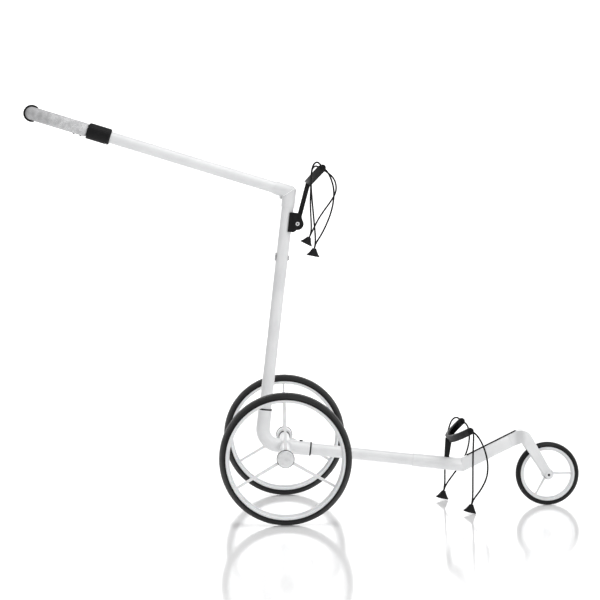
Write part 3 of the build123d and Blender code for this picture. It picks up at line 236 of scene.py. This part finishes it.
def soft_lamp(name, place, target, size, power):
    """A square lamp that faces its target."""
    data = bpy.data.lights.new(name, "AREA")
    data.shape = "SQUARE"
    data.size = size
    data.energy = power
    lamp = bpy.data.objects.new(name, data)
    lamp.location = place
    lamp.rotation_euler = (Vector(target) - Vector(place)).to_track_quat("-Z", "Y").to_euler()
    bpy.context.scene.collection.objects.link(lamp)
    return lamp


middle = (cad_box[0] + cad_box[1]) / 2
soft_lamp("lamp_above", (0.9, -0.9, 4.0), middle, 2.4, 52)
soft_lamp("lamp_front_right", (2.8, -3.4, 2.6), middle, 1.8, 44)
soft_lamp("lamp_front_left", (-3.0, -4.0, 2.0), middle, 2.0, 8)

# %% [markdown]
# ## Writing finishes as sums
# A finish is a graph of nodes. To keep it readable, one small class wraps a node's output, so that
# masks and mixes are written as plain arithmetic, and one method adds any other node.


# %% A socket that can be added and multiplied
class Value:
    """One output of a shader graph. Arithmetic on it adds Math nodes to the same graph."""

    def __init__(self, graph, socket):
        self.graph = graph
        self.socket = socket

    def math(self, operation, *others):
        return self.graph.add("ShaderNodeMath", {"operation": operation}, self, *others)

    def __add__(self, other):
        return self.math("ADD", other)

    def __mul__(self, other):
        return self.math("MULTIPLY", other)

    def __sub__(self, other):
        return self.math("SUBTRACT", other)

    def __rsub__(self, other):
        return self.graph.add("ShaderNodeMath", {"operation": "SUBTRACT"}, other, self)

    __radd__ = __add__
    __rmul__ = __mul__

    def ramp(self, low, high):
        """0 below low, 1 above high, smooth between."""
        settings = {"interpolation_type": "SMOOTHSTEP"}
        return self.graph.add("ShaderNodeMapRange", settings, self, low, high, 0.0, 1.0)


class Finish:
    """A material with a Principled shader whose constants are set on its own sockets."""

    def __init__(self, name, **constants):
        self.material = bpy.data.materials.new(name)
        self.material.use_nodes = True
        self.tree = self.material.node_tree
        self.shader = self.tree.nodes["Principled BSDF"]
        for socket, value in constants.items():
            self.shader.inputs[socket.replace("_", " ")].default_value = value

    def add(self, kind, settings, *values, output=0, **named):
        """Any node: its settings first, then its inputs by order or by name."""
        node = self.tree.nodes.new(kind)
        for setting, value in settings.items():
            setattr(node, setting, value)
        by_name = [(node.inputs[socket], value) for socket, value in named.items()]
        for socket, value in [*zip(node.inputs, values), *by_name]:
            if isinstance(value, Value):
                self.tree.links.new(value.socket, socket)
            elif value is not None:
                socket.default_value = value
        return Value(self, node.outputs[output])

    def place(self):
        """Where a point is on the trolley, in metres."""
        return self.add("ShaderNodeTexCoord", {}, output=3)

    def noise(self, scale, detail=3.0):
        return self.add("ShaderNodeTexNoise", {}, Vector=self.place(), Scale=scale, Detail=detail)

    def blend(self, share, first, second):
        """Mix of two colours."""
        mix = self.add("ShaderNodeMix", {"data_type": "RGBA"}, share, output=2)
        for index, value in ((6, first), (7, second)):
            socket = mix.socket.node.inputs[index]
            if isinstance(value, Value):
                self.tree.links.new(value.socket, socket)
            else:
                socket.default_value = (*value, 1.0)
        return mix

    def feed(self, **values):
        """Links values to the shader's sockets."""
        for socket, value in values.items():
            self.tree.links.new(value.socket, self.shader.inputs[socket.replace("_", " ")])

    def bump(self, height, depth, strength=1.0):
        """Relief of that depth in metres where height is 1."""
        raised = self.add("ShaderNodeBump", {}, Strength=strength, Distance=depth, Height=height)
        self.feed(Normal=raised)


def split(finish, vector):
    """The three parts of a vector."""
    node = finish.add("ShaderNodeSeparateXYZ", {}, vector).socket.node
    return [Value(finish, node.outputs[i]) for i in range(3)]


def moved(finish, origin, along=None):
    """Coordinates counted from origin. With along, local z runs that way."""
    where = finish.add("ShaderNodeVectorMath", {"operation": "SUBTRACT"}, finish.place(), tuple(origin))
    if along is None:
        return where
    turn = Vector(along).rotation_difference(Vector((0, 0, 1))).to_euler()
    settings = {"rotation_type": "EULER_XYZ"}
    return finish.add("ShaderNodeVectorRotate", settings, Vector=where, Rotation=tuple(turn))


# %% [markdown]
# ## White powder coat
# Powder coat is sprayed dry and melted, so it flows into a very fine orange peel. A noise at about
# a millimetre gives that relief, and a slower one varies the gloss and darkens it very slightly.

# %% Powder coat
WHITE = (0.86, 0.865, 0.87)
WHITE_SHADED = (0.78, 0.785, 0.795)
PEEL_DEPTH = 0.00004


def powder_coat():
    finish = Finish("powder_coat", Coat_Weight=0.25, Coat_Roughness=0.18)
    peel = finish.noise(900.0, 2.0)
    cloud = finish.noise(14.0)
    finish.feed(Base_Color=finish.blend(cloud.ramp(0.35, 0.75), WHITE, WHITE_SHADED))
    finish.feed(Roughness=cloud * 0.14 + peel * 0.05 + 0.27)
    finish.bump(peel, PEEL_DEPTH, 0.5)
    return finish.material


# %% [markdown]
# ## Moulded plastics and rubbers
# Black glass-filled plastic has a fine spark-eroded grain, paler in patches of wear. Rubber
# is softer: less grain, a broad sheen, and a dusty bloom in patches.

# %% Black plastic and rubbers
INK = (0.005, 0.005, 0.0055)
INK_WORN = (0.014, 0.014, 0.015)
RUBBER = (0.006, 0.006, 0.0065)
RUBBER_BLOOM = (0.017, 0.017, 0.018)


def grained_plastic():
    finish = Finish("grained_plastic", Specular_IOR_Level=0.2)
    grain = finish.noise(1600.0, 4.0)
    wear = finish.noise(60.0, 5.0)
    finish.feed(Base_Color=finish.blend(wear.ramp(0.45, 0.8), INK, INK_WORN))
    finish.feed(Roughness=grain * 0.16 + wear * 0.12 + 0.34)
    finish.bump(grain, 0.00008, 0.6)
    return finish.material


def soft_rubber():
    finish = Finish("soft_rubber", Specular_IOR_Level=0.16)
    bloom = finish.noise(35.0, 5.0)
    pores = finish.noise(2200.0, 2.0)
    finish.feed(Base_Color=finish.blend(bloom.ramp(0.4, 0.75), RUBBER, RUBBER_BLOOM))
    finish.feed(Roughness=bloom * 0.2 + pores * 0.1 + 0.48)
    finish.bump(pores, 0.00005, 0.5)
    return finish.material


TREAD_LINES_PER_METRE = 420.0
TREAD_DEPTH = 0.00012
TYRE_BLACK = (0.005, 0.005, 0.0055)
TYRE_DUST = (0.013, 0.013, 0.0125)


def tyre_rubber(name, hub):
    """Solid tyre: fine moulded lines round it, and patches of dust."""
    finish = Finish(name, Specular_IOR_Level=0.26)
    _, y, _ = split(finish, moved(finish, hub))
    lines = (y * (TREAD_LINES_PER_METRE * math.tau)).math("SINE") * 0.5 + 0.5
    dust = finish.noise(45.0, 6.0)
    pores = finish.noise(1800.0, 2.0)
    finish.feed(Base_Color=finish.blend(dust.ramp(0.5, 0.8), TYRE_BLACK, TYRE_DUST))
    finish.feed(Roughness=lines * 0.12 + dust * 0.2 + 0.3)
    finish.bump(lines * 0.7 + pores * 0.3, TREAD_DEPTH, 0.7)
    return finish.material


# %% [markdown]
# ## White nylon rims
# The rims and spokes are moulded in white nylon. It lets a little light in, so it looks softer
# than paint, and it shows faint cloudy flow marks.

# %% Nylon
def white_nylon():
    finish = Finish("white_nylon", Subsurface_Weight=0.05)
    flow = finish.noise(25.0, 4.0)
    grain = finish.noise(1200.0, 2.0)
    finish.feed(Base_Color=finish.blend(flow.ramp(0.4, 0.8), WHITE, WHITE_SHADED))
    finish.feed(Roughness=flow * 0.15 + grain * 0.05 + 0.32)
    finish.bump(grain, 0.00003, 0.4)
    return finish.material


# %% [markdown]
# ## Metals
# The hub caps are turned on a lathe, so their marks are rings about the wheel's axis. Bolts and
# the drawn inner tube are plain satin steel with fine scratches.

# %% Metals
RINGS_PER_METRE = 1500.0
TURNED_BRIGHT = (0.88, 0.885, 0.89)
TURNED_TARNISHED = (0.74, 0.745, 0.75)
# painted shade for the inside of a bolt's or screw's socket
SOCKET_PAINTED_SHADE = (0.02, 0.02, 0.021)


def turned_metal(name, centre, socket=0.0):
    """Satin metal with lathe rings about a line along Y through centre. Inside a socket of that radius, shade is
    painted as a dark colour.
    """
    finish = Finish(name, Metallic=1.0)
    x, _, z = split(finish, moved(finish, centre))
    radius = (x * x + z * z).math("SQRT")
    rings = (radius * (RINGS_PER_METRE * math.tau) + finish.noise(300.0) * 3.0).math("SINE") * 0.5 + 0.5
    tarnish = finish.noise(90.0, 5.0)
    bright = finish.blend(tarnish.ramp(0.4, 0.8), TURNED_BRIGHT, TURNED_TARNISHED)
    # painted shade: within the socket's radius the colour turns dark
    beyond_socket_shade = radius.ramp(socket * 0.75, socket * 0.9 + 0.0001)
    finish.feed(Base_Color=finish.blend(beyond_socket_shade, SOCKET_PAINTED_SHADE, bright) if socket else bright)
    finish.feed(Roughness=rings * 0.14 + tarnish * 0.12 + 0.24)
    finish.bump(rings, 0.00002, 0.5)
    return finish.material


def plain_steel(name, light, dark, roughness):
    finish = Finish(name, Metallic=1.0)
    scratches = finish.noise(700.0, 6.0)
    patch = finish.noise(50.0, 4.0)
    finish.feed(Base_Color=finish.blend(patch.ramp(0.4, 0.8), light, dark))
    finish.feed(Roughness=scratches * 0.2 + roughness)
    finish.bump(scratches, 0.00002, 0.4)
    return finish.material


# %% [markdown]
# ## Woven cord cover and leather
# A bungee's cover is braided, so two sets of slanting threads cross. The grip is wrapped in pale
# grey leather: cells of pebbled grain, with painted shade darkening the creases and the grip towards its end.

# %% Cord cover
BRAID_TURNS = 9.0
BRAID_THREADS = 420.0
BRAID_DARK = (0.004, 0.004, 0.0045)
BRAID_PALE = (0.014, 0.014, 0.015)


def woven_cover():
    finish = Finish("woven_cover", Specular_IOR_Level=0.15)
    coordinates = finish.add("ShaderNodeTexCoord", {}, output=2)
    along, around, _ = split(finish, coordinates)
    run = along * BRAID_THREADS
    slant = around * (BRAID_TURNS * math.tau)
    first = (run + slant).math("SINE")
    second = (run - slant).math("SINE")
    threads = first * second * 0.5 + 0.5
    finish.feed(Base_Color=finish.blend(threads, BRAID_DARK, BRAID_PALE))
    finish.feed(Roughness=threads * 0.15 + 0.55)
    finish.bump(threads, 0.0002, 0.8)
    return finish.material


# %% Grip leather
PEBBLES = 420.0
# painted shade: between these distances along the handle the grip darkens towards its end
GRIP_SHADE_FROM = 0.50
GRIP_SHADE_FULL = 0.64
PALE_LEATHER = ((0.82, 0.82, 0.83), (0.60, 0.60, 0.61))
# darker leather tones used as painted shade at the grip's end
END_PAINTED_SHADE_LEATHER = ((0.52, 0.52, 0.53), (0.34, 0.34, 0.345))
# painted shade in the grain's creases
CREASE_PAINTED_SHADE = (0.40, 0.40, 0.405)


def grip_leather():
    finish = Finish("grip_leather", Specular_IOR_Level=0.3)
    settings = {"feature": "DISTANCE_TO_EDGE"}
    cells = finish.add("ShaderNodeTexVoronoi", settings, Vector=finish.place(), Scale=PEBBLES)
    crease_relief_and_shade = cells.ramp(0.0, 0.12)
    mottle = finish.noise(70.0, 6.0)
    along = split(finish, moved(finish, grip_hinge, handle_way))[2]
    # painted shade: the leather turns to the darker tones towards the grip's end
    end_shade = along.ramp(GRIP_SHADE_FROM, GRIP_SHADE_FULL)
    pale = finish.blend(mottle.ramp(0.38, 0.66), *PALE_LEATHER)
    dark = finish.blend(mottle.ramp(0.38, 0.66), *END_PAINTED_SHADE_LEATHER)
    leather_with_end_shade = finish.blend(end_shade, pale, dark)
    # painted shade: the creases between pebbles take a grey colour
    finish.feed(Base_Color=finish.blend(crease_relief_and_shade, CREASE_PAINTED_SHADE, leather_with_end_shade))
    finish.feed(Roughness=mottle * 0.2 + 0.42 - crease_relief_and_shade * 0.06)
    finish.bump(crease_relief_and_shade * 0.6 + mottle * 0.4, 0.00025, 0.6)
    return finish.material


# %% [markdown]
# ## Giving each piece its finish
# The material slot that the record gives a CAD node says which finish it takes. Tyres, hub caps, the
# front bolt and the bracket's screw have their own, because their marks run round their own axes.

# %% Finishes by slot
SATIN_LIGHT = (0.62, 0.62, 0.63)
SATIN_DARK = (0.48, 0.48, 0.49)
OILED_LIGHT = (0.16, 0.16, 0.165)
OILED_DARK = (0.08, 0.08, 0.082)
# radii of the sockets inside which the front bolt and the bracket's screw get painted shade
BOLT_SOCKET = 0.0034
SCREW_SOCKET = 0.0023

finishes = {
    "white_coat": powder_coat(),
    "rim_white": white_nylon(),
    "black_plastic": grained_plastic(),
    "black_rubber": soft_rubber(),
    "elastic_cord": woven_cover(),
    "grip_leather": grip_leather(),
    "satin_metal": plain_steel("satin_steel", SATIN_LIGHT, SATIN_DARK, 0.22),
    "dark_steel": plain_steel("oiled_steel", OILED_LIGHT, OILED_DARK, 0.28),
}
own_finishes = {
    "left_tyre": tyre_rubber("left_tyre_rubber", left_hub),
    "right_tyre": tyre_rubber("right_tyre_rubber", right_hub),
    "front_tyre": tyre_rubber("front_tyre_rubber", front_hub),
    "left_hub_cap": turned_metal("left_cap_metal", left_hub),
    "right_hub_cap": turned_metal("right_cap_metal", right_hub),
    "front_axle_bolt": turned_metal("front_bolt_metal", front_hub, BOLT_SOCKET),
    "bracket_pin": turned_metal("bracket_screw_metal", bracket_screw, SCREW_SOCKET),
}


def finish_of(node):
    return own_finishes.get(node) or finishes[slots[node]]


def dress(thing, material):
    """Puts one material on a mesh or curve."""
    thing.data.materials.clear()
    thing.data.materials.append(material)


for name, node in nodes.items():
    dress(node, finish_of(name))
for name, cord in cords.items():
    dress(cord, finishes["elastic_cord"])

# %% [markdown]
# ## Softened edges
# CAD gives moulded and cast pieces sharp edges, and a real one has a small radius that catches the
# light. A copy of the CAD mesh with its flat faces joined and its edges bevelled stands for it.

# %% Softened copies
WELD = 0.000005
FLAT_ANGLE = math.radians(1.0)
EDGE_ANGLE = math.radians(32.0)
SOFT_EDGES = {
    "upper_bracket": 0.0012, "lower_bracket": 0.0012, "bracket_block": 0.0010, "clamp_collar": 0.0012,
    "clamp_lever": 0.0010, "crown": 0.0015, "boom": 0.0006, "top_casting": 0.0008, "handle_knuckle": 0.0008,
    "front_sleeve": 0.0005, "left_rim": 0.0007, "right_rim": 0.0007, "front_rim": 0.0006,
    "seal_rings": 0.0005, "elbow_housing": 0.0006, "grip_end_band": 0.0008,
    "front_nut_and_spacers": 0.0005, "left_hub_ring": 0.0004, "right_hub_ring": 0.0004,
    "upper_pads": 0.0004, "lower_pads": 0.0004, "grip_studs": 0.0006, "boom_strip": 0.0005,
}


def smooth_object(name, work):
    """A smooth-shaded object from a bmesh, which is freed."""
    mesh = bpy.data.meshes.new(name)
    work.to_mesh(mesh)
    work.free()
    for face in mesh.polygons:
        face.use_smooth = True
    thing = bpy.data.objects.new(name, mesh)
    bpy.context.scene.collection.objects.link(thing)
    return thing


def round_edges(piece, width):
    bevel = piece.modifiers.new("bevel", "BEVEL")
    bevel.width = width
    bevel.segments = 3
    bevel.limit_method = "ANGLE"
    bevel.angle_limit = EDGE_ANGLE
    bevel.use_clamp_overlap = True
    bevel.harden_normals = True


def softened(node, width):
    """A bevelled copy of a CAD node that stands for it."""
    work = bmesh.new()
    work.from_mesh(nodes[node].data)
    bmesh.ops.remove_doubles(work, verts=work.verts, dist=WELD)
    bmesh.ops.dissolve_limit(work, angle_limit=FLAT_ANGLE, verts=work.verts, edges=work.edges)
    piece = smooth_object(f"{node}_soft", work)
    round_edges(piece, width)
    dress(piece, finish_of(node))
    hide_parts(node)
    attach(piece, body_of_node[node])
    return piece


soft_pieces = {name: softened(name, width) for name, width in SOFT_EDGES.items()}
print("softened:", len(soft_pieces))

# %% [markdown]
# ## The floor's finish
# Polished white acrylic: it is smooth enough to mirror the wheels faintly. A glow that grows with
# distance keeps the sweep white behind the trolley.

# %% Floor finish
GLOW_FROM = 0.8
GLOW_FULL = 5.0
GLOW_NEAR = (0.22, 0.22, 0.22)
GLOW_FAR = (1.0, 1.0, 1.0)


def polished_floor():
    finish = Finish("polished_floor", Roughness=0.1, Emission_Strength=0.75)
    cloud = finish.noise(0.8, 2.0)
    distance = split(finish, finish.place())[1]
    finish.feed(Base_Color=finish.blend(cloud, (0.95, 0.95, 0.95), (0.93, 0.93, 0.935)))
    glow = distance.ramp(GLOW_FROM, GLOW_FULL)
    finish.feed(Emission_Color=finish.blend(glow, GLOW_NEAR, GLOW_FAR))
    return finish.material


dress(sweep, polished_floor())
bpy.context.scene.view_settings.view_transform = "Standard"

# %% [markdown]
# ## The rubber cones
# Each pair of strands ends in a cone that a bag strap hooks over. It is turned as one closed
# outline about the cone's own axis: a rounded shoulder, a flared skirt with a lip, a hollow base
# and a small collar where the strands go in.

# %% Cones
CONE_HEIGHT = 0.0185
CONE_SIDES = 48
CONES = {
    "upper_cone_left": ((0.0675, 0.128, 0.642), 63.0), "upper_cone_right": ((0.075, -0.128, 0.620), 78.0),
    "lower_cone_left": ((0.3835, 0.120, 0.023), 77.0), "lower_cone_right": ((0.429, -0.146, 0.0226), 75.0),
}
CONE_OUTLINE = [
    (0.0, 0.0042), (0.0068, 0.0040), (0.0112, 0.0022), (0.0130, 0.0002), (0.0143, 0.0), (0.0154, 0.0006),
    (0.0156, 0.0014), (0.0151, 0.0022), (0.0136, 0.0036), (0.0115, 0.0062), (0.0095, 0.0092),
    (0.0077, 0.0124), (0.0063, 0.0150), (0.0054, 0.0160), (0.0052, 0.0168), (0.0050, 0.0178),
    (0.0040, 0.0184), (0.0, 0.0185),
]


def outline_ring(work, base, stand, radius, height):
    """One ring of the cone, or a single point where the radius is 0."""
    turns = [math.tau * side / CONE_SIDES for side in range(CONE_SIDES)] if radius else [0.0]
    places = [Vector((radius * math.cos(a), radius * math.sin(a), height)) for a in turns]
    return [work.verts.new(base + stand @ place) for place in places]


def join_rings(work, low, high):
    """Faces between two rings. Beside a single point they are triangles."""
    for side in range(CONE_SIDES):
        after = (side + 1) % CONE_SIDES
        lower = [low[side % len(low)], low[after % len(low)]]
        upper = [high[after % len(high)], high[side % len(high)]]
        work.faces.new(list(dict.fromkeys(lower + upper)))


def turned_cone(name, top, heading):
    """The outline, (radius, height) from the base's middle up, turned about the cone's axis."""
    way = Vector((math.cos(math.radians(heading)), 0, math.sin(math.radians(heading))))
    base = Vector(top) + axle_shift - way * CONE_HEIGHT
    stand = way.to_track_quat("Z", "Y").to_matrix()
    work = bmesh.new()
    rings = [outline_ring(work, base, stand, *point) for point in CONE_OUTLINE]
    for low, high in zip(rings, rings[1:]):
        join_rings(work, low, high)
    bmesh.ops.recalc_face_normals(work, faces=work.faces)
    cone = smooth_object(name, work)
    node = f"{name.split('_')[0]}_cones"
    dress(cone, finishes["black_rubber"])
    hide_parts(node)
    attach(cone, body_of_node[node])
    return cone


cones = {name: turned_cone(name, *where) for name, where in CONES.items()}
